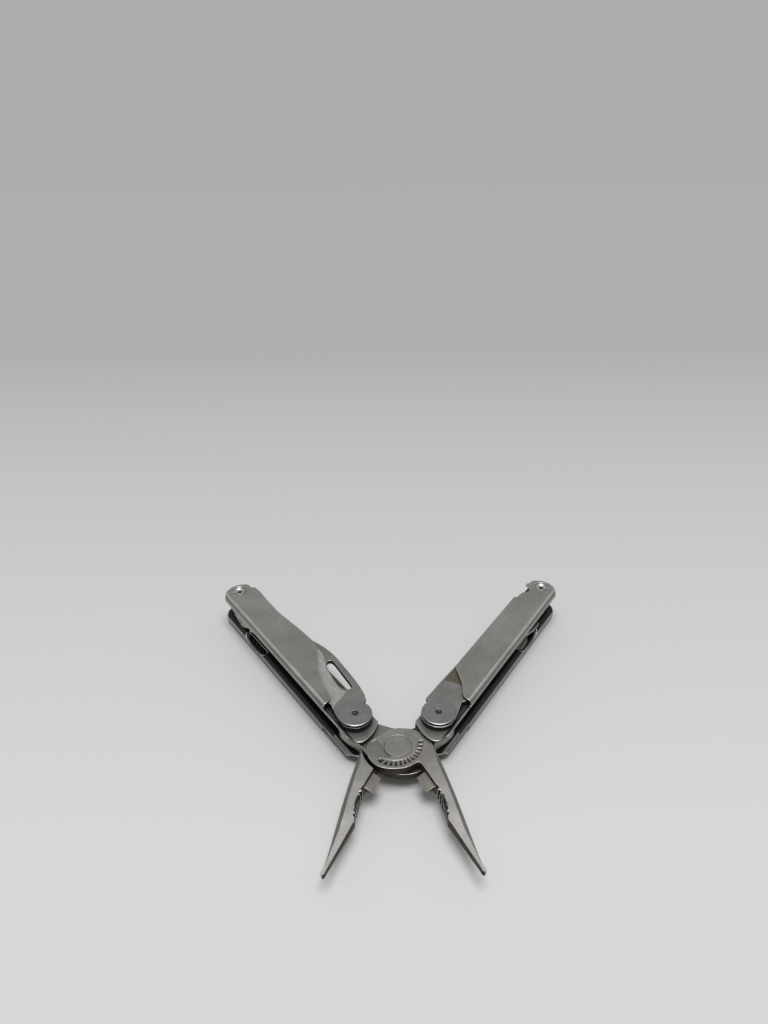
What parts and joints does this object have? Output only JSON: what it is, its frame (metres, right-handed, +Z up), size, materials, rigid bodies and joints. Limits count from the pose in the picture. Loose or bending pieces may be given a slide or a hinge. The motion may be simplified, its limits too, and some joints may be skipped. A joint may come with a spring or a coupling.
{
  "type": "folding multi tool",
  "caption": "Pocket multi tool lying open: needle-nose pliers hinged between folding steel handles that hold knife, saw, file, drivers, can opener and scissors.",
  "frame": {"origin": "centre of the bounding box in plan, on the floor the tool lies on", "axes": "+Z up off the floor, +Y from the jaw tips towards the handles, +X across the spread handles to the right-hand one"},
  "size_m": [0.1422, 0.1344, 0.0144],
  "materials": {
    "handle_steel": "satin, worn, folded stainless sheet",
    "plier_steel": "satin, worn, forged stainless",
    "blade_steel": "brushed stainless",
    "file_steel": "file-cut, brownish stainless",
    "cap_steel": "satin turned stainless",
    "screw_steel": "bright stainless",
    "tool_steel": "satin stainless",
    "spring_steel": "spring steel leaf"
  },
  "bodies": {
    "pliers_rivet": {"plier_rivet": "plier_steel"},
    "pliers_upper": {"plier_jaw_upper": "plier_steel"},
    "pliers_lower": {"plier_jaw_lower": "plier_steel"},
    "left_handle": {"left_handle_frame": "handle_steel", "left_pivot_screw": "cap_steel", "left_pivot_nut": "cap_steel", "left_far_screw": "screw_steel", "left_far_nut": "screw_steel"},
    "right_handle": {"right_handle_frame": "handle_steel", "right_pivot_screw": "cap_steel", "right_pivot_nut": "cap_steel", "right_far_screw": "screw_steel", "right_far_nut": "screw_steel"},
    "knife": {"knife_blade": "blade_steel"},
    "saw": {"saw_blade": "blade_steel"},
    "file": {"file_blade": "file_steel"},
    "serrated_knife": {"serrated_blade": "blade_steel"},
    "can_opener": {"can_opener": "tool_steel"},
    "large_screwdriver": {"large_screwdriver": "tool_steel"},
    "phillips_driver": {"phillips_driver": "tool_steel"},
    "medium_screwdriver": {"medium_screwdriver": "tool_steel"},
    "small_screwdriver": {"small_screwdriver": "tool_steel"},
    "scissors": {"scissors_fixed_blade": "tool_steel", "scissors_rivet": "tool_steel", "scissors_spring": "spring_steel"},
    "scissors_lever": {"scissors_lever": "tool_steel"}
  },
  "joints": [
    {"name": "plier_squeeze", "type": "hinge", "parent": "pliers_rivet", "child": "pliers_lower", "pos_m": [0, -0.02072, 0.0072], "axis": [0, 0, -1], "range_deg": [-53.2, 0]},
    {"name": "handle_fold", "type": "hinge", "parent": "pliers_upper", "child": "left_handle", "pos_m": [-0.01476, -0.0094, 0.0072], "axis": [0, 0, 1], "range_deg": [0, 171.5]},
    {"name": "jaw_fold", "type": "hinge", "parent": "pliers_rivet", "child": "pliers_upper", "pos_m": [0, -0.02072, 0.0072], "axis": [0, 0, -1], "range_deg": [0, 53.2]},
    {"name": "right_handle_fold", "type": "hinge", "parent": "pliers_lower", "child": "right_handle", "pos_m": [0.01476, -0.0094, 0.0072], "axis": [0, 0, -1], "range_deg": [0, 171.5]},
    {"name": "knife_open", "type": "hinge", "parent": "left_handle", "child": "knife", "pos_m": [-0.01476, -0.0094, 0.0072], "axis": [0, 0, -1], "range_deg": [0, 75]},
    {"name": "saw_open", "type": "hinge", "parent": "left_handle", "child": "saw", "pos_m": [-0.01476, -0.0094, 0.0072], "axis": [0, 0, -1], "range_deg": [0, 75]},
    {"name": "file_open", "type": "hinge", "parent": "right_handle", "child": "file", "pos_m": [0.01476, -0.0094, 0.0072], "axis": [0, 0, 1], "range_deg": [0, 75]},
    {"name": "serrated_knife_open", "type": "hinge", "parent": "right_handle", "child": "serrated_knife", "pos_m": [0.01476, -0.0094, 0.0072], "axis": [0, 0, 1], "range_deg": [0, 75]},
    {"name": "can_opener_out", "type": "hinge", "parent": "left_handle", "child": "can_opener", "pos_m": [-0.06536, 0.0626, 0.0072], "axis": [0, 0, 1], "range_deg": [-175, 0]},
    {"name": "large_screwdriver_out", "type": "hinge", "parent": "left_handle", "child": "large_screwdriver", "pos_m": [-0.06536, 0.0626, 0.0072], "axis": [0, 0, 1], "range_deg": [-175, 0]},
    {"name": "phillips_driver_out", "type": "hinge", "parent": "left_handle", "child": "phillips_driver", "pos_m": [-0.06536, 0.0626, 0.0072], "axis": [0, 0, 1], "range_deg": [-175, 0]},
    {"name": "medium_screwdriver_out", "type": "hinge", "parent": "right_handle", "child": "medium_screwdriver", "pos_m": [0.06536, 0.0626, 0.0072], "axis": [0, 0, -1], "range_deg": [-175, 0]},
    {"name": "small_screwdriver_out", "type": "hinge", "parent": "right_handle", "child": "small_screwdriver", "pos_m": [0.06536, 0.0626, 0.0072], "axis": [0, 0, -1], "range_deg": [-175, 0]},
    {"name": "scissors_out", "type": "hinge", "parent": "right_handle", "child": "scissors", "pos_m": [0.06536, 0.0626, 0.0072], "axis": [0, 0, -1], "range_deg": [-175, 0]},
    {"name": "scissors_squeeze", "type": "hinge", "parent": "scissors", "child": "scissors_lever", "pos_m": [0.05008, 0.04034, 0.0072], "axis": [0, 0, 1], "range_deg": [0, 11], "stiffness_Nm_per_rad": 0.1, "deforming": ["scissors_spring"]}
  ],
  "couplings": [
    {"joint": "jaw_fold", "follows": "handle_fold", "ratio": 0.3102},
    {"joint": "right_handle_fold", "follows": "handle_fold", "ratio": 1}
  ]
}
